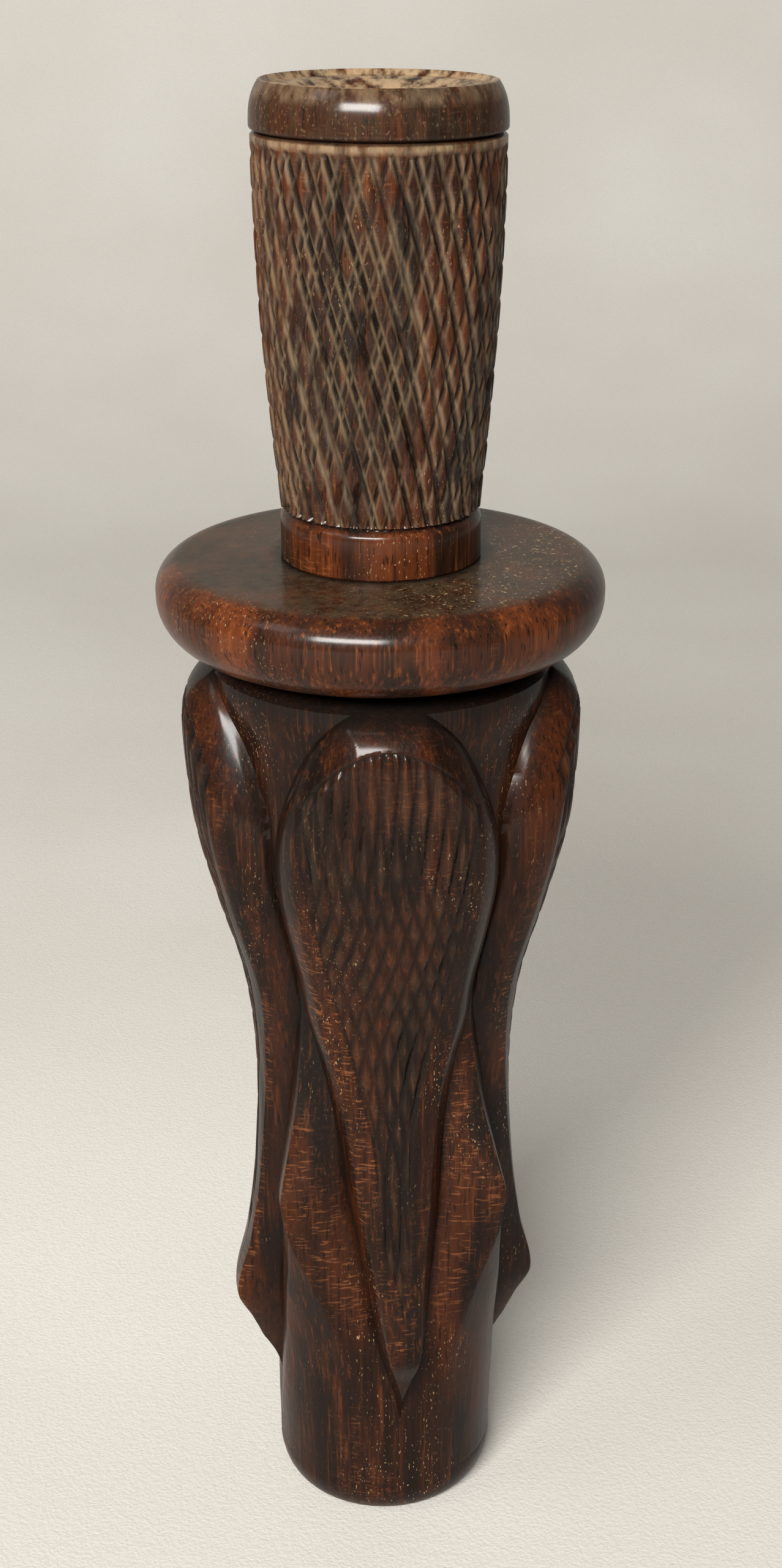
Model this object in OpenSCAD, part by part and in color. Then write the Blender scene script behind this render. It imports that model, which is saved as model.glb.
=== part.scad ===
// Mouth-blown wooden game call: a carved barrel with a stop disc, and an insert that holds the sounding
// parts.
// Origin: centre of the barrel's mouth end, which the call stands on. +Z runs up to the insert's open bell.

/* [Overall] */
// Height of the whole call, mouth end to bell rim
call_h = 150; // [140:1:160]

/* [Barrel] */
// Diameter of the bore that takes the insert's tenon
bore_d = 15.9; // [15:0.1:16.4]
// Radius of the plain round tube at the mouth end
tube_r = 11.8; // [11.4:0.1:12.2]
// Radius of the four raised panels at the shoulder
lobe_r = 19.6; // [18.6:0.1:20.2]
// Radius over the panels at the waist
waist_r = 13.35; // [13:0.05:14]
// Radius of the panels' lower tips, which stand out like a prow
prow_r = 16.3; // [15.4:0.1:17]
// Radius of the crests between the panels
crest_r = 16.5; // [15.5:0.1:17]
// Turn of the carving about the axis, in degrees
carving_turn = 3.6; // [0:0.1:8]

/* [Stop disc] */
// Radius of the disc
disc_r = 21.7; // [20.5:0.1:23]
// Radius of the rounding along the disc's lower edge
disc_edge_r = 4.8; // [4:0.1:5]
// Radius of the rounding along the disc's upper edge
disc_top_edge_r = 3; // [2:0.1:3.3]

/* [Insert] */
// Radius of the plain collar that sits on the disc
collar_r = 9.55; // [9.35:0.05:10]
// Radius of the grip just above the collar
grip_low_r = 9.55; // [9.2:0.05:10]
// Radius of the grip just below the lip
grip_top_r = 11.55; // [11:0.05:12]
// Largest radius of the lip
lip_r = 11.65; // [11.3:0.05:12.1]
// Radius of the bell's mouth, inside the lip
bell_r = 10.35; // [9.8:0.05:10.6]
// Diameter of the exhaust bore
exhaust_d = 7; // [6:0.1:7.5]
// Diameter of the socket that holds the sounding parts
socket_d = 9.6; // [9:0.1:10]

/* [Sounding parts] */
// Width of the reed
reed_w = 7; // [6:0.1:7.6]
// Thickness of the reed
reed_t = 0.25; // [0.2:0.05:0.3]
// Angle of the tone board's facing, which the reed closes on, in degrees
facing_angle = 2.4; // [2.3:0.1:2.6]
// Width of the air channel in the tone board
channel_w = 3.6; // [3:0.1:3.8]

/* [Hidden] */
$fn = 96;
// Overlap of solids that are joined into one
join = 2;

// Heights along the axis
crest_z = 40.5;
prow_z = 24;
shoulder_z = 91;
neck_z = 97;
disc_z0 = 98.2;
disc_z1 = 106.5;
collar_z1 = 111.2;
lip_z0 = 145.6;
tenon_z0 = 78;
socket_z1 = 96;
bell_z0 = 138;
board_z0 = 40;
clamp_z = 80;

// Radii and gaps worked out from the dimensions above
bore_r = bore_d / 2;
neck_r = 12.6;
shoulder_r = neck_r + 0.4;
spigot_r = collar_r - 0.25;
rim_r = 9.6;
tenon_r = bore_r - 0.05;
wrap_groove_r = tenon_r - 0.75;
wrap_z0 = 84;
wrap_z1 = 100;
thread_r = 0.32;
exhaust_r = exhaust_d / 2;
socket_r = socket_d / 2;
board_r = socket_r - 0.05;
reed_y = 0.02;
wedge_y = reed_y + reed_t + 0.04;
groove_depth = 0.45;

// Limits u to the range from low to high
function clamp(u, low = 0, high = 1) = min(max(u, low), high);
// Index of the interval of stations that holds z
function interval(s, z, i = 0) = i >= len(s) - 2 || z < s[i + 1][0] ? i : interval(s, z, i + 1);
// Slope of the smooth curve through the stations, flat at both ends
function slope(s, i) = i == 0 || i == len(s) - 1 ? 0
    : (s[i + 1][1] - s[i - 1][1]) / (s[i + 1][0] - s[i - 1][0]);
// Smooth curve through stations [z, value], by Hermite pieces
function curve(s, z) = let (i = interval(s, z), h = s[i + 1][0] - s[i][0], u = clamp((z - s[i][0]) / h))
    s[i][1] * (1 + 2 * u) * (1 - u) * (1 - u) + s[i + 1][1] * u * u * (3 - 2 * u)
    + h * (slope(s, i) * u * (1 - u) * (1 - u) - slope(s, i + 1) * u * u * (1 - u));
// Quarter-round rise from 0 to 1
function quarter(u) = sqrt(1 - pow(1 - clamp(u), 2));

// Carving, as functions of height: radius over a panel's middle, half angle of its outline, radius of the
// valley at its edge, radius and half angle of the crest between panels, width of the sloped panel edge,
// its roundness, and the lean of the hand-cut pattern about the axis
panel_line = [[0, tube_r], [8, tube_r], [12, tube_r + 0.2], [20, prow_r - 1.7], [prow_z, prow_r],
    [31, 14.9], [40, 13.8], [53, waist_r], [63, 14.5], [72, 17], [80, 18.9], [88, lobe_r], [98, lobe_r]];
outline_line = [[12, 0], [21.5, 9.5], [28.5, 15], [36, 20.5], [42, 24.5], [48, 28], [53.5, 32.7],
    [57.5, 37.5], [61.5, 42.5], [65, 43.5], [98, 43.5]];
crease_line = [[63, 12], [67.5, 12.7], [73, 14.1], [76.4, 14.9], [80, 15.15], [84, 15.15], [87, 15.3],
    [90, 15.6], [95, 16.6]];
valley_line = concat([[0, tube_r], [7, tube_r], [12.5, 11.5], [prow_z, 11.6], [crest_z, 11.6],
    [50, 11.4], [58, 11.6]], crease_line);
crest_line = concat([[0, tube_r], [8, tube_r], [20, 12.5], [30, 14.2], [36, 15.6], [crest_z, crest_r],
    [crest_z + 1, crest_r], [45, 15.4], [51, 13.5], [57, 12.4], [60, 11.9]], crease_line);
tongue_line = [[5, 2], [13.5, 16], [21, 26], [28.8, 35.5], [33, 41.5], [37, 45], [100, 45]];
edge_line = [[0, 0.5], [12, 0.5], [28, 2.1], [50, 2.3], [60, 3.3], [68, 4], [80, 4.8], [88, 4.3], [98, 4]];
round_line = [[0, 0.25], [56, 0.25], [74, 0.55], [86, 0.45], [98, 0.5]];
lean_line = [[8, 4.6], [30, 3.7], [44, 1], [60, -0.8], [98, -1.5]];
arch_top_z = 97;
arch_bend = 0.0072;
arch_blend = 1.5;

// Half angle of the parabolic arch that closes a panel's outline at its top
function arch_angle(z) = sqrt(max(0, arch_top_z - z) / arch_bend);
// Distance in mm inside a panel's outline, negative outside it: the lesser of those to its side and its
// arch, blended where the two meet
function side_inside(t, z) = (curve(outline_line, z) - t) * PI / 180 * curve(panel_line, z);
function arch_inside(t, z) = let (grade = 2 * arch_bend * t / (lobe_r * PI / 180))
    (arch_top_z - arch_bend * t * t - z) / norm([1, grade]);
function inside(t, z) = let (a = side_inside(t, z), b = arch_inside(t, z))
    (a + b - norm([a - b, arch_blend])) / 2;
// Ground between the panels: a flat facet from the valley up to the crest or the tongue
function ground(t, z) = let (
    a = curve(outline_line, z),
    b = curve(tongue_line, z),
    v = curve(valley_line, z))
    v + (curve(crest_line, z) - v) * clamp((t - a) / max(b - a, 1));
// Rise of the panel's edge from the ground, from a slope to a quarter round
function edge_rise(u, roundness) = (1 - roundness) * clamp(u) + roundness * quarter(u);
// Rounded mouth end and rounded shoulder, which cap every radius
function end_cap(z) = z < 4 ? rim_r + (tube_r - rim_r) * quarter(z / 4)
    : z > shoulder_z ? shoulder_r + (lobe_r - shoulder_r) * quarter((neck_z - z) / (neck_z - shoulder_z))
    : lobe_r + 1;
// Radius of the carved outside
function carved_r(t, z) = let (g = ground(t, z), u = inside(t, z) / curve(edge_line, z))
    min(g + (curve(panel_line, z) - g) * edge_rise(u, curve(round_line, z)), end_cap(z));

// Angles from a panel's middle to the crest, placed on the carved edges at this height
function half_angles(z) = let (
    a = clamp(min(curve(outline_line, z), arch_angle(z)), 3.5, 41.5),
    soft = clamp(curve(edge_line, z) / curve(panel_line, z) * 180 / PI, 1.2, 0.6 * a),
    b = clamp(curve(tongue_line, z), a + 1.5, 43.3))
    [0, (a - soft) / 3, (a - soft) * 2 / 3, a - soft, a - soft * 0.4, a, (a + b) / 2, b];
// The same angles all the way round, as [angle, angle from the nearest panel's middle]
function ring_angles(z) = let (h = half_angles(z), n = len(h))
    [for (q = [0:3]) each concat([for (k = [0:n - 1]) [90 * q + h[k], h[k]]], [[90 * q + 45, 45]],
        [for (k = [n - 1:-1:1]) [90 * q + 90 - h[k], h[k]]])];

carve_z = concat([0, 0.8, 2, 4], [for (z = [6.5:2.5:84]) z], [for (z = [86.2:1.3:96]) z], [neck_z]);
carve_steps = len(ring_angles(0));

// Closed skin of the carved outside, one ring of points for each height
module carved_skin() {
    points = [for (z = carve_z) for (p = ring_angles(z))
        let (r = carved_r(p[1], z), a = p[0] + curve(lean_line, z)) [r * cos(a), r * sin(a), z]];
    last = (len(carve_z) - 1) * carve_steps;
    sides = [for (i = [0:len(carve_z) - 2]) for (k = [0:carve_steps - 1])
        let (a = i * carve_steps + k, b = i * carve_steps + (k + 1) % carve_steps)
        each [[a, b + carve_steps, b], [a, a + carve_steps, b + carve_steps]]];
    ends = [[for (k = [0:carve_steps - 1]) k], [for (k = [carve_steps - 1:-1:0]) last + k]];
    polyhedron(points, concat(sides, ends));
}

module barrel() {
    color("#4a2a1c")
    difference() {
        union() {
            rotate([0, 0, carving_turn]) carved_skin();
            translate([0, 0, neck_z - join]) cylinder(r = neck_r, h = disc_z0 - neck_z + join);
            translate([0, 0, neck_z - join]) cylinder(r = spigot_r, h = disc_z1 - neck_z + join);
        }
        translate([0, 0, -1]) cylinder(r = bore_r, h = call_h);
    }
}

module stop_disc() {
    disc_h = disc_z1 - disc_z0;
    side_h = disc_h - disc_edge_r - disc_top_edge_r;
    color("#5a2f1b")
    translate([0, 0, disc_z0])
    rotate_extrude() {
        translate([spigot_r, 0]) square([disc_r - disc_edge_r - spigot_r, disc_h]);
        translate([spigot_r, disc_edge_r])
            square([disc_r - disc_top_edge_r - spigot_r, side_h + disc_top_edge_r]);
        translate([spigot_r, disc_edge_r]) square([disc_r - spigot_r, side_h]);
        edge_quarter(disc_edge_r, disc_edge_r, -1);
        edge_quarter(disc_h - disc_top_edge_r, disc_top_edge_r, 1);
    }
}
// Quarter circle of the disc's edge, above or below its centre height z
module edge_quarter(z, r, side) {
    translate([disc_r - r, z])
    intersection() {
        circle(r = r);
        translate([0, side > 0 ? 0 : -r]) square([r, r]);
    }
}

// Waxed thread, one bead for each turn side by side, on a thin bed
module tenon_wrap() {
    bed_r = wrap_groove_r + 0.05;
    pitch = 1.9 * thread_r;
    turns = floor((wrap_z1 - wrap_z0 - 1) / pitch);
    color("#8a7a55")
    rotate_extrude() {
        translate([bed_r, wrap_z0 + 0.3]) square([thread_r, wrap_z1 - wrap_z0 - 0.6]);
        for (k = [0:turns - 1])
            translate([tenon_r + 0.02 - thread_r, wrap_z0 + 0.5 + pitch * (k + 0.5)])
            circle(r = thread_r, $fn = 16);
    }
}

// Outside of the insert above its collar: groove, swelling grip, groove and rounded lip
grip_line = [[collar_z1, grip_low_r], [118, grip_low_r + 0.6], [130, grip_low_r + 1.55],
    [140, grip_top_r - 0.05], [lip_z0, grip_top_r]];
function lip_out(u) = [lip_r - 0.85 * pow(u, 3), lip_z0 + 0.3 + u * (call_h - lip_z0 - 0.5)];
// Inside of the bell: an ellipse from the exhaust bore out to the rim
function bell_in(a) = [exhaust_r + (bell_r - exhaust_r) * (1 - cos(a)),
    bell_z0 + (call_h - 0.5 - bell_z0) * sin(a)];

module insert() {
    outline = concat(
        [[socket_r, tenon_z0], [tenon_r - 0.4, tenon_z0], [tenon_r, tenon_z0 + 0.4]],
        [[tenon_r, wrap_z0], [wrap_groove_r, wrap_z0], [wrap_groove_r, wrap_z1], [tenon_r, wrap_z1]],
        [[tenon_r, disc_z1], [collar_r, disc_z1], [collar_r, collar_z1 - 0.3]],
        [[collar_r - groove_depth, collar_z1]],
        [for (k = [0:10]) let (z = collar_z1 + 0.4 + k * (lip_z0 - collar_z1 - 0.7) / 10)
            [curve(grip_line, z), z]],
        [[grip_top_r - groove_depth, lip_z0]],
        [for (k = [0:6]) lip_out(k / 6)],
        [[bell_r + 0.3, call_h], [bell_r + 0.1, call_h]],
        [for (a = [90:-15:0]) bell_in(a)],
        [[exhaust_r, socket_z1], [socket_r, socket_z1]]);
    color("#4d2b1d") rotate_extrude() polygon(outline);
}

// Half-round bar with a sloping facing and an air channel that stops short of its tip
module tone_board() {
    board_h = socket_z1 - board_z0;
    channel_z0 = board_z0 + 5;
    facing_z1 = clamp_z + 1.5;
    color("#20201f")
    difference() {
        translate([0, 0, board_z0]) cylinder(r = board_r, h = board_h);
        translate([-board_r - 1, 0, board_z0 - 1]) cube([2 * board_r + 2, board_r + 1, board_h + 2]);
        translate([-board_r - 1, 0, facing_z1]) rotate([-facing_angle, 0, 0])
            translate([0, 0, -board_h]) cube([2 * board_r + 2, board_r, board_h]);
        translate([-channel_w / 2, -2.9, channel_z0]) cube([channel_w, 2 * board_r, board_h]);
    }
}

// Thin brass strip, drawn from z0 to z1
module reed_strip(z0, z1) {
    translate([-reed_w / 2, reed_y, z0]) cube([reed_w, reed_t, z1 - z0]);
}

module reed_heel() {
    color("#b08d3c") reed_strip(clamp_z, socket_z1 - 1.5);
}

// Free part of the reed, with a round tip
module reed_tongue() {
    tip_z = board_z0 + 1 + reed_w / 2;
    color("#c09a45") {
        reed_strip(tip_z, clamp_z);
        translate([0, reed_y + reed_t, tip_z]) rotate([90, 0, 0])
            intersection() {
                cylinder(r = reed_w / 2, h = reed_t);
                translate([-reed_w / 2, -reed_w / 2, 0]) cube([reed_w, reed_w / 2, reed_t]);
            }
    }
}

// Half-round block that fills the socket above the reed, with a sloping nose
module wedge_block() {
    block_h = socket_z1 - 1 - clamp_z;
    nose_angle = 35;
    color("#a9744a")
    difference() {
        translate([0, 0, clamp_z]) cylinder(r = board_r, h = block_h);
        translate([-board_r - 1, wedge_y - board_r - 1, clamp_z - 1])
            cube([2 * board_r + 2, board_r + 1, block_h + 2]);
        translate([-board_r - 1, wedge_y + 0.8, clamp_z]) rotate([nose_angle, 0, 0])
            translate([0, 0, -board_r]) cube([2 * board_r + 2, 2 * board_r, board_r]);
    }
}

barrel();
stop_disc();
tenon_wrap();
insert();
tone_board();
reed_heel();
reed_tongue();
wedge_block();
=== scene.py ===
import math

import bpy
import numpy as np
from mathutils import Matrix, Vector


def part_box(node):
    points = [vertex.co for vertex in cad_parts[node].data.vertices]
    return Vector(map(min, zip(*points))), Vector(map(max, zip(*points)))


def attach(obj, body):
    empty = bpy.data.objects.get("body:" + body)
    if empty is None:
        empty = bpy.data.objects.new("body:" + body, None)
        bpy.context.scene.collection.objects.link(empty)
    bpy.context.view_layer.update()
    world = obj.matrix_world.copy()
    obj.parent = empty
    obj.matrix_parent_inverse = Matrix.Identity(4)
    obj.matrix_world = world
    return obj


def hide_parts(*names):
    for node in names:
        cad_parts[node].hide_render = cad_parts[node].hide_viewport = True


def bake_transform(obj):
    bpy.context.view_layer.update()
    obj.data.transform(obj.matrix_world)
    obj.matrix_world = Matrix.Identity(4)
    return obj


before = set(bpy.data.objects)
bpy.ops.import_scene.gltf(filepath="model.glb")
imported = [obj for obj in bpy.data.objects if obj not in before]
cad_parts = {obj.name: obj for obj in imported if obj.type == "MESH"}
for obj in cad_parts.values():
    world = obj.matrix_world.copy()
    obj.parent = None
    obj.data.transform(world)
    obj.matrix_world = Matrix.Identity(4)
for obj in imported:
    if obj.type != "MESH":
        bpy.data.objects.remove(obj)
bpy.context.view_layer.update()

MM = 0.001


# ---------------------------------------------------------------- camera
def make_camera():
    """The camera stands in front of the call, a little above it, and looks down at it."""
    yaw, pitch, roll = (math.radians(a) for a in (1.61, 22.64, 0.36))
    forward = Vector((math.sin(yaw) * math.cos(pitch), math.cos(yaw) * math.cos(pitch), -math.sin(pitch)))
    right = Vector((math.cos(yaw), -math.sin(yaw), 0))
    up = right.cross(forward)
    across = right * math.cos(roll) + up * math.sin(roll)
    upward = up * math.cos(roll) - right * math.sin(roll)
    data = bpy.data.cameras.new("camera")
    data.lens = 49.7
    data.shift_x = -0.03
    data.clip_start = 0.01
    camera = bpy.data.objects.new("camera", data)
    camera.matrix_world = Matrix((across, upward, -forward)).transposed().to_4x4()
    camera.location = (0, -0.2005, 0.16606)
    bpy.context.scene.collection.objects.link(camera)
    bpy.context.scene.camera = camera


make_camera()


# ---------------------------------------------------------------- shape helpers
def curve(stations, z):
    """Smooth curve through [z, value] stations, flat at both ends."""
    s = np.array(stations, float)
    slope = np.zeros(len(s))
    slope[1:-1] = (s[2:, 1] - s[:-2, 1]) / (s[2:, 0] - s[:-2, 0])
    i = np.clip(np.searchsorted(s[:, 0], z, side="right") - 1, 0, len(s) - 2)
    h = s[i + 1, 0] - s[i, 0]
    u = np.clip((z - s[i, 0]) / h, 0, 1)
    return (s[i, 1] * (1 + 2 * u) * (1 - u) ** 2 + s[i + 1, 1] * u * u * (3 - 2 * u)
            + h * (slope[i] * u * (1 - u) ** 2 - slope[i + 1] * u * u * (1 - u)))


def smooth(u):
    u = np.clip(u, 0, 1)
    return u * u * (3 - 2 * u)


def quarter(u):
    """Quarter-round rise from 0 to 1."""
    return np.sqrt(1 - (1 - np.clip(u, 0, 1)) ** 2)


def waves(seed, a, b, scale_a, scale_b, terms=7):
    """Smooth irregular pattern from -1 to 1 over two coordinates. a is an angle and closes round."""
    rng = np.random.default_rng(seed)
    total = np.zeros(np.broadcast(a, b).shape)
    for _ in range(terms):
        turns = rng.integers(1, scale_a + 1)
        total = total + np.sin(turns * a + rng.uniform(0.3, 1) * scale_b * b + rng.uniform(0, 2 * math.pi))
    return total / terms


def near(value, middle, width):
    """1 at the middle value, falling straight to 0 at width either side."""
    return np.clip(1 - np.abs(value - middle) / width, 0, 1)


def v_groove(u, width):
    """1 on every whole number of u, falling straight to 0 at width either side."""
    return np.clip(1 - np.abs(u - np.round(u)) / width, 0, 1)


def closed_mesh(name, points, layers, flat_angle=40):
    """Torus-like closed mesh from points in mm, shape (rings, columns, 3). layers holds values by name."""
    rings, columns = points.shape[:2]
    i, k = np.meshgrid(np.arange(rings), np.arange(columns), indexing="ij")
    j, m = (i + 1) % rings, (k + 1) % columns
    quads = np.stack([i * columns + k, i * columns + m, j * columns + m, j * columns + k], -1).reshape(-1, 4)
    mesh = bpy.data.meshes.new(name)
    mesh.from_pydata((points.reshape(-1, 3) * MM).tolist(), [], quads.tolist())
    for key, values in layers.items():
        layer = mesh.attributes.new(key, "FLOAT", "POINT")
        layer.data.foreach_set("value", values.reshape(-1).astype(np.float32))
    mesh.polygons.foreach_set("use_smooth", np.ones(len(quads), bool))
    mesh.update()
    mesh.set_sharp_from_angle(angle=math.radians(flat_angle))
    piece = bpy.data.objects.new(name, mesh)
    bpy.context.scene.collection.objects.link(piece)
    return piece


def rings_from(r, z, theta):
    """Points for radius, height and angle arrays of one shape."""
    return np.stack([r * np.cos(theta), r * np.sin(theta), np.broadcast_to(z, r.shape)], -1)


def place(piece, body, slot, material, *nodes):
    piece.data.materials.append(material)
    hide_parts(*nodes)
    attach(piece, body)


def node_size(name):
    """Lowest and highest corner of a CAD node, in mm."""
    low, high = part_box(name)
    return np.array(low) / MM, np.array(high) / MM


# ---------------------------------------------------------------- material helpers
def srgb(red, green, blue):
    """Linear colour from the 0 to 255 values of a screen colour."""
    def linear(c):
        c /= 255
        return c / 12.92 if c <= 0.04045 else ((c + 0.055) / 1.055) ** 2.4
    return (linear(red), linear(green), linear(blue), 1)


class Nodes:
    """Short names for building one material's node tree."""

    def __init__(self, name):
        self.material = bpy.data.materials.new(name)
        self.material.use_nodes = True
        self.tree = self.material.node_tree
        self.tree.nodes.clear()
        self.place = self.add("TexCoord").outputs["Object"]

    def add(self, kind, inputs=None, **settings):
        made = self.tree.nodes.new("ShaderNode" + kind)
        for key, value in settings.items():
            setattr(made, key, value)
        for key, value in (inputs or {}).items():
            if isinstance(value, bpy.types.NodeSocket):
                self.tree.links.new(value, made.inputs[key])
            else:
                made.inputs[key].default_value = value
        return made

    def noise(self, per_metre, shift=0.0, detail=2.0, rough=0.5, turn=0.0):
        """Noise with its own frequency along X, Y and Z, in cycles per metre."""
        mapped = self.add("Mapping", {"Vector": self.place, "Location": (shift, shift * 0.7, shift * 1.3),
                                      "Rotation": (0, 0, turn), "Scale": per_metre})
        return self.add("TexNoise", {"Vector": mapped.outputs[0], "Scale": 1.0, "Detail": detail,
                                     "Roughness": rough}).outputs["Fac"]

    def band(self, value, low, high):
        """Maps low to 0 and high to 1, smoothly."""
        return self.add("MapRange", {"Value": value, "From Min": low, "From Max": high},
                        interpolation_type="SMOOTHSTEP").outputs["Result"]

    def math(self, operation, a, b=0.0):
        return self.add("Math", {0: a, 1: b}, operation=operation).outputs[0]

    def mix(self, amount, a, b, blend="MIX"):
        made = self.add("Mix", {"Factor": amount}, data_type="RGBA", blend_type=blend)
        for key, value in ((6, a), (7, b)):
            if isinstance(value, bpy.types.NodeSocket):
                self.tree.links.new(value, made.inputs[key])
            else:
                made.inputs[key].default_value = value
        return made.outputs[2]

    def layer(self, name):
        return self.add("Attribute", attribute_name=name).outputs["Fac"]

    def bump(self, height, strength, distance, below=None):
        inputs = {"Height": height, "Strength": strength, "Distance": distance}
        if below is not None:
            inputs["Normal"] = below
        return self.add("Bump", inputs).outputs[0]

    def finish(self, **sockets):
        shader = self.add("BsdfPrincipled", {k.replace("_", " "): v for k, v in sockets.items()})
        self.add("OutputMaterial", {"Surface": shader.outputs[0]})
        return self.material


def walnut(name, seed, warmth, gloss, light_and_shade_scale, coat):
    """Old shellacked walnut. warmth adds orange, gloss lowers the roughness, the argument after gloss multiplies
    the wood's colour as painted shade below 1 and painted light above 1, and coat is the weight of the shellac."""
    n = Nodes(name)
    fibres = n.noise((2400, 2400, 90), seed, 3, 0.6)
    mottling = n.noise((170, 170, 40), seed + 3, 3, 0.55)
    ring_lines = n.noise((420, 90, 14), seed + 5, 2, 0.5, turn=0.5)
    patches = n.noise((70, 70, 45), seed + 9, 2, 0.5)
    dark, deep = srgb(23, 13, 8), srgb(43, 20, 10)
    warm, orange = srgb(84, 40, 16), srgb(120, 64, 28)
    colour = n.mix(n.band(ring_lines, 0.35, 0.68), dark, deep)
    colour = n.mix(n.math("MULTIPLY", n.band(mottling, 0.42, 0.66), 0.4 + 0.4 * warmth), colour, warm)
    colour = n.mix(n.math("MULTIPLY", n.band(fibres, 0.52, 0.76), 0.3 + 0.4 * warmth), colour, orange)
    colour = n.mix(n.math("MULTIPLY", n.band(fibres, 0.47, 0.32), 0.6), colour, srgb(20, 12, 9))
    # Painted light and shade: each piece's wood scaled as a whole, darker on the barrel in the disc's shade,
    # lighter on the disc
    colour = n.mix(1.0, colour, (light_and_shade_scale, light_and_shade_scale, light_and_shade_scale, 1), "MULTIPLY")
    # Short ray flecks across the grain, plentiful where the carving cuts across the rays
    fleck_here = n.math("MAXIMUM", n.math("MULTIPLY", n.band(patches, 0.52, 0.66), 0.5), n.layer("flecks"))
    flecks = n.band(n.noise((800, 800, 4600), seed + 13, 1, 0.4), 0.56, 0.72)
    flecks = n.math("MULTIPLY", flecks, n.math("MULTIPLY", fleck_here, n.band(mottling, 0.4, 0.58)))
    colour = n.mix(n.math("MULTIPLY", flecks, 0.35), colour, srgb(142, 86, 50))
    # Pores, drawn along the grain: dark where empty, pale where dust fills them
    pores = n.noise((4200, 4200, 520), seed + 17, 1, 0.5)
    colour = n.mix(n.math("MULTIPLY", n.band(pores, 0.38, 0.3), 0.8), colour, srgb(12, 7, 5))
    specks = n.layer("specks")
    dusty_here = n.math("ADD", n.band(n.noise((130, 130, 70), seed + 23, 2), 0.5, 0.72), specks)
    dusty = n.math("MULTIPLY", n.band(n.noise((5600, 5600, 2200), seed + 21, 1, 0.5), 0.67, 0.73), dusty_here)
    flakes = n.band(n.noise((2300, 2300, 2000), seed + 25, 1, 0.5), 0.66, 0.7)
    dusty = n.math("MAXIMUM", dusty, n.math("MULTIPLY", flakes, n.math("MULTIPLY", specks, specks)))
    colour = n.mix(n.math("MULTIPLY", dusty, 0.5), colour, srgb(176, 146, 106))
    # Near-black painted shade in the cuts, creases and corners and under the disc, also darkening some whole
    # areas; a pale layer of real wear on ridges and bands that also carries painted sheen and painted light;
    # grey-brown dust on flat tops
    shade_and_darkening, wear_and_painted_light, dust = n.layer("shade_and_darkening"), n.layer("wear_and_painted_light"), n.layer("dust")
    colour = n.mix(n.math("MULTIPLY", shade_and_darkening, 0.92), colour, srgb(12, 8, 6))
    worn_and_lit = n.math("MULTIPLY", wear_and_painted_light, n.band(n.noise((700, 700, 180), seed + 27, 3, 0.6), 0.34, 0.62))
    # Pale: real wear, with painted sheen and painted light where the layer carries them
    colour = n.mix(n.math("MULTIPLY", worn_and_lit, 0.75), colour, srgb(146, 124, 96))
    dusted = n.math("MULTIPLY", dust, n.band(n.noise((900, 900, 500), seed + 31, 4, 0.65), 0.3, 0.66))
    colour = n.mix(n.math("MULTIPLY", dusted, 0.65), colour, srgb(66, 56, 40))
    rough = n.math("MULTIPLY_ADD", fibres, 0.3)
    rough.node.inputs[2].default_value = 0.3 - gloss
    rough = n.math("ADD", rough, n.math("MULTIPLY", n.math("MAXIMUM", dusted, worn_and_lit), 0.3))
    rough = n.math("ADD", rough, n.math("MULTIPLY", shade_and_darkening, 0.3))
    normal = n.bump(n.noise((900, 900, 60), seed + 35, 2), 0.25, 0.0002)
    normal = n.bump(fibres, 0.5, 0.00008, normal)
    normal = n.bump(pores, 0.4, 0.0001, normal)
    return n.finish(Base_Color=colour, Roughness=rough, Normal=normal, IOR=1.4, Specular_IOR_Level=0.06,
                    Coat_Weight=coat, Coat_Roughness=0.16, Coat_IOR=1.4)


def cedar():
    n = Nodes("cedar")
    fibres = n.noise((1900, 1900, 45), 2, 3, 0.6)
    years = n.noise((700, 160, 18), 5, 2, 0.5, turn=0.7)
    colour = n.mix(n.band(years, 0.35, 0.65), srgb(196, 128, 86), srgb(150, 82, 52))
    colour = n.mix(n.math("MULTIPLY", n.band(fibres, 0.5, 0.75), 0.5), colour, srgb(116, 60, 38))
    rough = n.math("MULTIPLY_ADD", fibres, 0.25)
    rough.node.inputs[2].default_value = 0.55
    return n.finish(Base_Color=colour, Roughness=rough, Normal=n.bump(fibres, 0.5, 0.0001))


def hard_rubber():
    n = Nodes("hard_rubber")
    cloud = n.noise((300, 300, 200), 1, 3, 0.6)
    scratches = n.band(n.noise((5000, 5000, 150), 4, 2, 0.5), 0.62, 0.72)
    colour = n.mix(n.band(cloud, 0.35, 0.7), srgb(24, 22, 21), srgb(44, 38, 32))
    colour = n.mix(n.math("MULTIPLY", scratches, 0.35), colour, srgb(92, 84, 74))
    rough = n.math("MULTIPLY_ADD", cloud, 0.35)
    rough.node.inputs[2].default_value = 0.25
    return n.finish(Base_Color=colour, Roughness=rough, Normal=n.bump(scratches, 0.3, 0.00005))


def reed_brass():
    n = Nodes("reed_brass")
    rolled = n.noise((3500, 3500, 60), 3, 3, 0.6)
    tarnish = n.band(n.noise((420, 420, 260), 8, 4, 0.6), 0.45, 0.7)
    colour = n.mix(n.band(rolled, 0.3, 0.7), srgb(214, 172, 92), srgb(188, 142, 68))
    colour = n.mix(n.math("MULTIPLY", tarnish, 0.6), colour, srgb(122, 84, 44))
    rough = n.math("MULTIPLY_ADD", tarnish, 0.25)
    rough.node.inputs[2].default_value = 0.22
    return n.finish(Base_Color=colour, Metallic=1.0, Roughness=rough, Normal=n.bump(rolled, 0.25, 0.00003))


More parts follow.
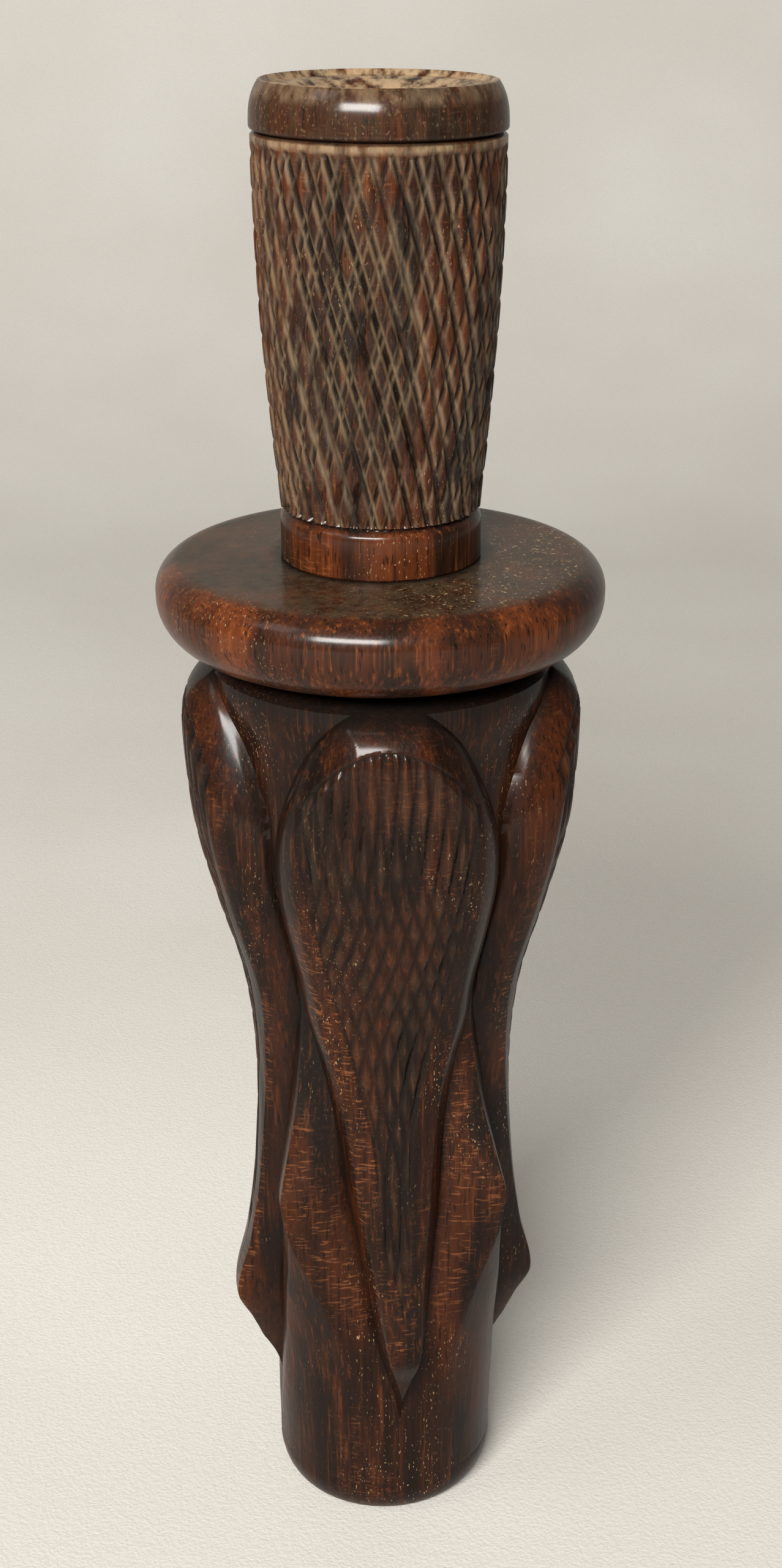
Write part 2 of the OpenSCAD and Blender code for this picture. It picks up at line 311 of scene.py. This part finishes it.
def waxed_thread():
    n = Nodes("waxed_thread")
    twist = n.noise((1800, 1800, 2600), 6, 3, 0.6)
    wax = n.band(n.noise((260, 260, 200), 9, 3), 0.42, 0.66)
    colour = n.mix(n.band(twist, 0.3, 0.7), srgb(122, 98, 60), srgb(168, 144, 98))
    colour = n.mix(n.math("MULTIPLY", wax, 0.6), colour, srgb(120, 92, 48))
    rough = n.math("MULTIPLY_ADD", twist, 0.3)
    rough.node.inputs[2].default_value = 0.45
    return n.finish(Base_Color=colour, Roughness=rough, Normal=n.bump(twist, 0.6, 0.0001))


def pale_floor():
    n = Nodes("pale_floor")
    cloud = n.noise((9, 9, 9), 1, 3)
    fine = n.noise((2600, 2600, 2600), 2, 2, 0.6)
    colour = n.mix(n.band(cloud, 0.3, 0.7), srgb(178, 174, 168), srgb(187, 184, 178))
    colour = n.mix(n.math("MULTIPLY", n.band(fine, 0.4, 0.7), 0.2), colour, srgb(160, 156, 149))
    return n.finish(Base_Color=colour, Roughness=0.9, Normal=n.bump(fine, 0.3, 0.0003))


# ---------------------------------------------------------------- carved barrel
TUBE_R, LOBE_R, WAIST_R, PROW_R, CREST_R = 11.8, 19.6, 13.35, 16.3, 16.5
PROW_Z, CREST_Z, SHOULDER_Z, NECK_Z = 24, 40.5, 91, 97
RIM_R, NECK_R = 9.6, 12.6
CARVING_TURN, ARCH_TOP_Z, ARCH_BEND, ARCH_BLEND = 3.6, 97, 0.0072, 1.5
# Stations [z, value] of the carving, in mm and degrees: radius over a panel's middle, half angle of its
# outline, radius of the crease, of the valley and of the crest between panels, half angle where the facet
# between panels ends, width and roundness of a panel's edge, and the lean of the hand-cut pattern
PANEL_LINE = [[0, TUBE_R], [8, TUBE_R], [12, TUBE_R + 0.2], [20, PROW_R - 1.7], [PROW_Z, PROW_R],
              [31, 14.9], [40, 13.8], [53, WAIST_R], [63, 14.5], [72, 17], [80, 18.9],
              [88, LOBE_R], [98, LOBE_R]]
OUTLINE_LINE = [[12, 0], [21.5, 9.5], [28.5, 15], [36, 20.5], [42, 24.5], [48, 28], [53.5, 32.7],
                [57.5, 37.5], [61.5, 42.5], [65, 43.5], [98, 43.5]]
CREASE_LINE = [[63, 12], [67.5, 12.7], [73, 14.1], [76.4, 14.9], [80, 15.15], [84, 15.15], [87, 15.3],
               [90, 15.6], [95, 16.6]]
VALLEY_LINE = [[0, TUBE_R], [7, TUBE_R], [12.5, 11.5], [PROW_Z, 11.6], [CREST_Z, 11.6], [50, 11.4],
               [58, 11.6]] + CREASE_LINE
CREST_LINE = [[0, TUBE_R], [8, TUBE_R], [20, 12.5], [30, 14.2], [36, 15.6], [CREST_Z, CREST_R],
              [CREST_Z + 1, CREST_R], [45, 15.4], [51, 13.5], [57, 12.4], [60, 11.9]] + CREASE_LINE
TONGUE_LINE = [[5, 2], [13.5, 16], [21, 26], [28.8, 35.5], [33, 41.5], [37, 45], [100, 45]]
EDGE_LINE = [[0, 0.5], [12, 0.5], [28, 2.1], [50, 2.3], [60, 3.3], [68, 4], [80, 4.8], [88, 4.3], [98, 4]]
ROUND_LINE = [[0, 0.25], [56, 0.25], [74, 0.55], [86, 0.45], [98, 0.5]]
LEAN_LINE = [[8, 4.6], [30, 3.7], [44, 1], [60, -0.8], [98, -1.5]]
# Half angle of the checkered field, and the arch that closes it
FIELD_LINE = [[29, 0], [36, 5.5], [48, 8], [55, 13.5], [60, 17], [64, 19.7], [72, 23], [80, 25.5], [98, 26.5]]
FIELD_TOP_Z, FIELD_BEND = 93.2, 0.0088
CHECKER_PITCH, CHECKER_DEPTH = 1.6, 0.42


def side_inside(t, z, line):
    """Distance in mm inside an outline at its side. t is in degrees from a panel's middle."""
    return np.radians(curve(line, z) - t) * curve(PANEL_LINE, z)


def arch_inside(t, z, top_z, bend):
    """Distance in mm inside a parabolic arch that closes an outline at its top."""
    return (top_z - bend * t * t - z) / np.hypot(1, 2 * bend * t / math.radians(LOBE_R))


def inside(t, z):
    """Distance in mm inside a panel's outline: the lesser of those to its side and its arch, blended."""
    a, b = side_inside(t, z, OUTLINE_LINE), arch_inside(t, z, ARCH_TOP_Z, ARCH_BEND)
    return (a + b - np.hypot(a - b, ARCH_BLEND)) / 2


def carved_radius(t, z):
    a, b, valley = curve(OUTLINE_LINE, z), curve(TONGUE_LINE, z), curve(VALLEY_LINE, z)
    ground = valley + (curve(CREST_LINE, z) - valley) * np.clip((t - a) / np.maximum(b - a, 1), 0, 1)
    u, roundness = inside(t, z) / curve(EDGE_LINE, z), curve(ROUND_LINE, z)
    rise = (1 - roundness) * np.clip(u, 0, 1) + roundness * quarter(u)
    r = ground + (curve(PANEL_LINE, z) - ground) * rise
    rim = RIM_R + (TUBE_R - RIM_R) * quarter(z / 4)
    shoulder = NECK_R + 0.4 + (LOBE_R - NECK_R - 0.4) * quarter((NECK_Z - z) / (NECK_Z - SHOULDER_Z))
    return np.minimum(r, np.where(z < 4, rim, np.where(z > SHOULDER_Z, shoulder, 99)))


def arch_angle(z):
    return np.sqrt(np.clip(ARCH_TOP_Z - z, 0, None) / ARCH_BEND)


def half_angles(z, counts=(52, 16, 12, 6)):
    """Angles from a panel's middle to the crest, set close on the carved edges. z has shape (rings, 1)."""
    a = np.clip(np.minimum(curve(OUTLINE_LINE, z), arch_angle(z)), 1, 43)
    soft = np.clip(np.degrees(curve(EDGE_LINE, z) / curve(PANEL_LINE, z)), 0.5, 0.7 * a)
    b = np.clip(curve(TONGUE_LINE, z), a + 0.7, 44.4)
    spans = ((0, a - soft), (a - soft, a), (a, b), (b, 45))
    return np.hstack([low + (high - low) * np.arange(c) / c for (low, high), c in zip(spans, counts)])


def carved_barrel(material):
    mouth, body, shoulder = np.linspace(0, 6, 22), np.arange(6.4, 84, 0.42), np.arange(84.2, NECK_Z, 0.2)
    z = np.concatenate([mouth, body, shoulder, [NECK_Z]])[:, None]
    half = half_angles(z)
    crest = np.full((len(z), 1), 45.0)
    quarters = [np.hstack([90 * q + half, 90 * q + crest, 90 * q + 90 - half[:, :0:-1]]) for q in range(4)]
    turn = np.hstack(quarters)
    signed = (turn + 45) % 90 - 45
    t = np.abs(signed)
    theta = np.radians(turn + CARVING_TURN + curve(LEAN_LINE, z))
    r = carved_radius(t, z)
    # Checkering: two sets of furrows that follow the sides of a field inside the panel
    in_field = np.minimum(side_inside(t, z, FIELD_LINE), arch_inside(t, z, FIELD_TOP_Z, FIELD_BEND))
    field = smooth(in_field / 0.5 + 0.3)
    across = np.radians(signed) * curve(PANEL_LINE, z)
    half_width = np.radians(curve(FIELD_LINE, z)) * curve(PANEL_LINE, z) + 0.05 * (z - 60)
    cuts = []
    for sign, seed in ((1, 3), (-1, 4)):
        wander = 0.16 * waves(seed, theta, z, 6, 0.4)
        deep = 0.75 + 0.45 * waves(seed + 40, theta, z, 14, 0.5)
        cuts.append(v_groove((across + sign * half_width) / CHECKER_PITCH + wander, 0.33) * deep)
    cut = np.maximum(cuts[0] * 0.85, cuts[1]) * field
    scribe = near(in_field, 0, 0.24) * smooth((z - 36) / 10)
    mouth_ring = near(z, 4.2, 0.22) * smooth(0.4 + 1.5 * waves(11, theta, z * 0, 5, 1))
    marks = 0.06 * waves(7, theta, z, 40, 0.8, 12) + 0.06 * waves(8, theta, z, 8, 0.25)
    marks = marks + 0.04 * waves(9, theta, z, 90, 0.4, 14) * smooth((30 - z) / 20)
    r = r - CHECKER_DEPTH * cut - 0.16 * scribe - 0.12 * mouth_ring
    r = r + marks * smooth(z / 8) * smooth((96 - z) / 3)
    outer = rings_from(r, z, theta)
    # Neck, spigot inside the disc, bore and mouth edge close the solid
    top, disc_low = node_size("barrel")[1][2], node_size("stop_disc")[0][2]
    bore_r, spigot_r = 7.95, 9.3
    lower = [(NECK_R, NECK_Z), (NECK_R, disc_low), (spigot_r, disc_low), (spigot_r, top), (bore_r + 0.2, top),
             (bore_r, top - 0.2)]
    lower += [(bore_r, h) for h in np.linspace(top - 1, 1.2, 30)]
    lower += [(bore_r + 0.7 * (1 - math.cos(a)), 0.7 - 0.7 * math.sin(a))
              for a in np.linspace(0.2, math.pi / 2, 6)]
    inner = np.stack([rings_from(np.full(r.shape[1], a), b, theta[-1]) for a, b in lower])
    points = np.concatenate([outer, inner])
    pad = np.zeros((len(lower), r.shape[1]))
    wall = inside(t, z)
    # Painted shade in the crease along each panel's outline and in the band under the disc
    crease = np.exp(-((wall - 0.1) / 0.9) ** 2) * smooth((z - 12) / 8) * (1 - 0.6 * smooth((z - 84) / 6))
    under_disc = smooth((z - 93.5) / 2.5)
    # Painted shade in the checkering cuts, the scribed lines, the mouth ring, the creases and under the disc
    shade_and_darkening = np.clip(cut * 1.1 + scribe * 0.8 + mouth_ring * 0.6 + 0.65 * crease + 0.8 * under_disc, 0, 1)
    strip = smooth((wall - curve(EDGE_LINE, z) * 0.6) / 0.5) * (1 - field) * smooth((80 - z) / 12)
    ridge = field * np.clip(1 - np.maximum(cuts[0], cuts[1]) * 2.2, 0, 1) * 0.04
    wear_and_painted_light = np.clip(ridge, 0, 1)
    facet = smooth(-wall / 0.5) * smooth((64 - z) / 4) * smooth((z - 22) / 8)
    flecks = np.clip(strip + 0.7 * facet, 0, 1) * (t < curve(TONGUE_LINE, z))
    dust = smooth((1.8 - z) / 1.5) + 0 * r
    layers = {"shade_and_darkening": shade_and_darkening, "wear_and_painted_light": wear_and_painted_light, "dust": dust, "flecks": flecks, "specks": 0.08 + 0 * r}
    layers = {key: np.concatenate([values, pad]) for key, values in layers.items()}
    piece = closed_mesh("carved_barrel", points, layers)
    place(piece, "barrel", "walnut_barrel", material, "barrel")


# ---------------------------------------------------------------- stop disc
def turned_disc(material):
    low, high = node_size("stop_disc")
    disc_r, top_edge_r, low_edge_r, hole_r = high[0], 3.0, 4.8, 9.3
    flat_r = disc_r - top_edge_r
    profile = [(hole_r, high[2] - 0.02)] + [(r, high[2]) for r in np.linspace(hole_r + 0.1, flat_r, 16)]
    for edge_r, z, start in ((top_edge_r, high[2] - top_edge_r, 90), (low_edge_r, low[2] + low_edge_r, 0)):
        arc = np.radians(np.linspace(start, start - 90, 17)[1:])
        profile += [(disc_r - edge_r + edge_r * math.cos(a), z + edge_r * math.sin(a)) for a in arc]
    profile += [(r, low[2]) for r in np.linspace(disc_r - low_edge_r, hole_r, 10)[1:]]
    profile = np.array(profile)
    theta = np.linspace(0, 2 * math.pi, 256, endpoint=False)[None]
    r, z = profile[:, :1] + 0 * theta, profile[:, 1:] + 0 * theta
    on_edge = smooth((r - flat_r) / 2)
    r = r + 0.06 * (waves(21, theta, z, 5, 0.2) - 1) * on_edge
    top = smooth((z - high[2] + 0.3) / 0.3)
    z = z - 0.05 * (1 + waves(22, theta, r, 6, 0.4)) * top * smooth((r - 10.5) / 2)
    dust = top * smooth((r - 9.5) / 1.0) * (0.75 + 0.5 * np.clip(waves(23, theta, r, 3, 0.3), 0, 1))
    # Painted shade on the disc's top next to the collar
    near_collar = top * smooth((11.4 - r) / 1.6)
    speck_side = np.clip(0.35 + 0.9 * np.cos(theta - math.radians(-20)), 0, 1) * smooth((r - 10) / 1.5)
    # Painted shade next to the collar, and the whole top made darker
    layers = {"shade_and_darkening": np.clip(near_collar * 0.7 + 0.35 * top, 0, 1), "dust": np.clip(dust, 0, 1),
              "specks": 1.3 * top * speck_side}
    piece = closed_mesh("turned_disc", rings_from(r, z, theta), layers)
    place(piece, "barrel", "walnut_disc", material, "stop_disc")


# ---------------------------------------------------------------- insert
GRIP_LINES, GRIP_SLANT, GRIP_DEPTH = 36, 0.155, 0.5
COLLAR_TOP, LIP_LOW, CALL_TOP = 111.2, 145.6, 150
GRIP_LINE = [[COLLAR_TOP, 9.55], [118, 10.15], [130, 11.1], [140, 11.5], [LIP_LOW, 11.55]]


def insert_profile():
    """Outline of the insert as (radius, height), from its lower end up the outside and down the inside."""
    socket_r, tenon_r, groove_r, collar_r, lip_r, bell_r, exhaust_r = 4.8, 7.9, 7.15, 9.55, 11.65, 10.35, 3.5
    tenon_low, wrap_low, wrap_high, disc_top = 78, 84, 100, 106.5
    p = [(socket_r + 0.2, tenon_low), (tenon_r - 0.4, tenon_low), (tenon_r, tenon_low + 0.4)]
    p += [(tenon_r, wrap_low), (groove_r, wrap_low), (groove_r, wrap_high), (tenon_r, wrap_high),
          (tenon_r, disc_top)]
    p += [(collar_r - 0.15, disc_top), (collar_r, disc_top + 0.15)]
    p += [(collar_r, z) for z in np.linspace(disc_top + 0.5, COLLAR_TOP - 0.9, 8)]
    p += [(collar_r - 0.06, COLLAR_TOP - 0.6), (collar_r - 0.2, COLLAR_TOP - 0.35),
          (collar_r - 0.5, COLLAR_TOP - 0.12), (collar_r - 0.6, COLLAR_TOP), (collar_r - 0.55, COLLAR_TOP + 0.12)]
    p += [(float(curve(GRIP_LINE, z)), z) for z in np.arange(COLLAR_TOP + 0.3, LIP_LOW - 0.3, 0.25)]
    p += [(11.4, LIP_LOW - 0.2), (11.05, LIP_LOW), (11.4, LIP_LOW + 0.15), (lip_r - 0.08, LIP_LOW + 0.25)]
    lip_h = CALL_TOP - LIP_LOW - 0.5
    p += [(lip_r - 0.85 * u ** 3, LIP_LOW + 0.3 + u * lip_h) for u in np.linspace(0.02, 1, 20)]
    p += [(bell_r + 0.36, CALL_TOP - 0.06), (bell_r + 0.2, CALL_TOP), (bell_r + 0.08, CALL_TOP - 0.1)]
    bell_low = 138
    bell_h = CALL_TOP - 0.5 - bell_low
    p += [(exhaust_r + (bell_r - exhaust_r) * (1 - math.cos(a)), bell_low + bell_h * math.sin(a))
          for a in np.radians(np.linspace(88, 0, 22))]
    p += [(exhaust_r, z) for z in np.linspace(136, 97, 8)]
    p += [(exhaust_r, 96), (socket_r, 96), (socket_r, 90), (socket_r, 84), (socket_r, tenon_low + 0.2)]
    return np.array(p)


def checkered_insert(material):
    profile = insert_profile()
    columns = 720
    theta = np.linspace(0, 2 * math.pi, columns, endpoint=False)[None]
    r, z = profile[:, :1] + 0 * theta, profile[:, 1:] + 0 * theta
    outside = (np.arange(len(profile)) < np.argmax(profile[:, 1]))[:, None]
    grip_top = LIP_LOW - 0.75 - z + 0.3 * waves(35, theta, z * 0, 30, 1)
    grip = smooth((z - COLLAR_TOP) / 0.5) * smooth(grip_top / 0.5) * outside
    turns = theta * GRIP_LINES / (2 * math.pi)
    drift = 0.13 * waves(31, theta, z, 7, 0.15)
    falling = v_groove(turns + GRIP_SLANT * z + drift, 0.34)
    rising = v_groove(turns - GRIP_SLANT * z + 0.13 * waves(32, theta, z, 7, 0.15), 0.3)
    falling = falling * (0.8 + 0.4 * waves(33, theta, z, 12, 0.35))
    rising = rising * (0.8 + 0.4 * waves(36, theta, z, 12, 0.35))
    cut = np.maximum(falling, 0.75 * rising) * grip
    crown = np.clip(1 - falling - rising, 0, 1) * grip
    r = r - GRIP_DEPTH * cut + 0.06 * crown - 0.05 * grip
    r = r + 0.03 * waves(34, theta, z, 6, 0.2) * outside * smooth((z - 106.4) / 0.3)
    band = smooth((z - LIP_LOW + 1.0) / 0.3) * smooth((LIP_LOW - 0.15 - z) / 0.2) * (1 - grip) * outside
    grooves = np.maximum(near(z, LIP_LOW, 0.35), near(z, COLLAR_TOP, 0.3))
    # Painted sheen: pale lines on the flanks of the grooves, where light catches them
    flank = np.maximum(near(falling, 0.35, 0.3), 0.6 * near(rising, 0.35, 0.3))
    lip = smooth((z - LIP_LOW - 0.1) / 0.2) * outside
    # The lip's pale top: wear and painted light from above
    lip_top = smooth((z - CALL_TOP + 1.7) / 0.8) * outside
    # Painted light: the inside of the bell made pale, like a lit wall
    bell = (~outside) * smooth((z - 139) / 3)
    # Painted shade in the grip's grooves and the rings, and the grip and lip darker overall; pale: real wear on
    # the band, painted sheen on the flanks, painted light on the lip's top and in the bell
    layers = {"shade_and_darkening": np.clip(1.2 * cut ** 1.6 + 0.3 * grip + grooves * outside + 0.6 * lip, 0, 1),
              "wear_and_painted_light": np.clip(0.45 * flank * grip + 0.8 * band + 0.3 * lip_top + bell, 0, 1),
              "dust": np.clip(0.7 * band + 0.3 * lip, 0, 1), "specks": 0.6 * lip + 0.2 * grip}
    piece = closed_mesh("checkered_insert", rings_from(r, z, theta), layers)
    place(piece, "insert", "walnut_insert", material, "insert")


# ---------------------------------------------------------------- sounding parts
def thread_wrap(material):
    low, high = node_size("tenon_wrap")
    pitch, thread_r, inner_r = 0.6, 0.32, 7.2
    crown_r = high[0] - 0.01
    z = np.arange(low[2], high[2], pitch / 8)[:, None]
    theta = np.linspace(0, 2 * math.pi, 120, endpoint=False)[None]
    off = (z / pitch - theta / (2 * math.pi) + 0.5) % 1 - 0.5
    bead = np.sqrt(np.clip(thread_r ** 2 - (off * pitch) ** 2, 0, None))
    r = crown_r - thread_r + bead
    outer = rings_from(r, z, theta)
    inner = [rings_from(np.full(theta.shape[1], inner_r), h, theta[0]) for h in (z[-1, 0], z[0, 0])]
    points = np.concatenate([outer, np.stack(inner)])
    piece = closed_mesh("thread_wrap", points, {}, 60)
    place(piece, "wrap", "waxed_thread", material, "tenon_wrap")


def brass_reed(material):
    """One strip with a round tip, cut fine along its length."""
    low, high = node_size("reed_tongue")
    top = node_size("reed_heel")[1][2]
    half, edge = high[0], 0.05
    tip_z = low[2] + half
    arc = [low[2] + half * (1 - math.cos(a)) for a in np.linspace(0.12, math.pi / 2, 12)]
    heights = arc + list(np.linspace(tip_z, top, 60)[1:])
    rows = []
    for h in heights:
        w = half * math.sqrt(max(0, 1 - (1 - (h - low[2]) / half) ** 2)) if h < tip_z else half
        y0, y1 = low[1], high[1]
        rows.append([(-w, y0 + edge, h), (-w + edge, y0, h), (w - edge, y0, h), (w, y0 + edge, h),
                     (w, y1 - edge, h), (w - edge, y1, h), (-w + edge, y1, h), (-w, y1 - edge, h)])
    mesh = bpy.data.meshes.new("brass_reed")
    sides = len(rows[0])
    faces = [[i + k, i + (k + 1) % sides, i + sides + (k + 1) % sides, i + sides + k]
             for i in range(0, sides * (len(rows) - 1), sides) for k in range(sides)]
    last = (len(rows) - 1) * sides
    faces += [list(range(sides - 1, -1, -1)), [last + k for k in range(sides)]]
    mesh.from_pydata((np.array(rows).reshape(-1, 3) * MM).tolist(), [], faces)
    mesh.update()
    piece = bpy.data.objects.new("brass_reed", mesh)
    bpy.context.scene.collection.objects.link(piece)
    mesh.materials.append(material)
    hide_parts("reed_heel", "reed_tongue")
    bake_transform(piece)


def dress_node(name, material):
    """Gives a CAD node that stays a better material."""
    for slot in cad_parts[name].material_slots:
        slot.material = material


# ---------------------------------------------------------------- stage
def make_stage():
    """A pale floor that sweeps up behind."""
    back_y, bend_r, half_w = 0.35, 0.25, 1.6
    line = [(-1.2, 0.0), (-0.3, 0.0), (back_y, 0.0)]
    line += [(back_y + bend_r * math.sin(a), bend_r * (1 - math.cos(a)))
             for a in np.linspace(0.1, math.pi / 2, 14)]
    line += [(back_y + bend_r, 1.6)]
    verts = [(x, y, z) for y, z in line for x in (-half_w, half_w)]
    faces = [(2 * i, 2 * i + 1, 2 * i + 3, 2 * i + 2) for i in range(len(line) - 1)]
    mesh = bpy.data.meshes.new("floor")
    mesh.from_pydata(verts, [], faces)
    mesh.polygons.foreach_set("use_smooth", np.ones(len(faces), bool))
    floor = bpy.data.objects.new("floor", mesh)
    bpy.context.scene.collection.objects.link(floor)
    mesh.materials.append(pale_floor())


def make_light(name, azimuth, elevation, distance, size, energy, colour):
    """Area light that looks at the middle of the call. Azimuth 0 is in front, positive to the right."""
    a, e = math.radians(azimuth), math.radians(elevation)
    target = Vector((0, 0, 0.085))
    offset = Vector((math.sin(a) * math.cos(e), -math.cos(a) * math.cos(e), math.sin(e))) * distance
    data = bpy.data.lights.new(name, "AREA")
    data.shape = "RECTANGLE"
    data.size, data.size_y = size
    data.energy = energy
    data.color = colour
    light = bpy.data.objects.new(name, data)
    light.location = target + offset
    light.rotation_mode = "QUATERNION"
    light.rotation_quaternion = (-offset).to_track_quat("-Z", "Y")
    bpy.context.scene.collection.objects.link(light)


def make_lighting():
    make_light("window", -17, 31, 0.9, (0.5, 0.2), 22, (1.0, 0.985, 0.955))
    make_light("left_fill", -65, 45, 1.2, (0.4, 0.4), 2, (1.0, 0.98, 0.96))
    world = bpy.data.worlds.new("soft_room")
    bpy.context.scene.world = world
    world.use_nodes = True
    world.node_tree.nodes["Background"].inputs["Color"].default_value = (1.0, 0.97, 0.92, 1)
    world.node_tree.nodes["Background"].inputs["Strength"].default_value = 0.19
    bpy.context.scene.view_settings.view_transform = "Standard"


# ---------------------------------------------------------------- build
# The argument after gloss is painted light and shade: the barrel darkened as in the disc's shade, the disc
# lightened
carved_barrel(walnut("walnut_barrel", 0.0, 0.4, 0.0, 0.52, 0.3))
turned_disc(walnut("walnut_disc", 40.0, 0.12, 0.1, 1.3, 0.36))
checkered_insert(walnut("walnut_insert", 80.0, 0.5, 0.04, 0.95, 0.42))
thread_wrap(waxed_thread())
brass_reed(reed_brass())
dress_node("tone_board", hard_rubber())
dress_node("wedge_block", cedar())
make_stage()
make_lighting()
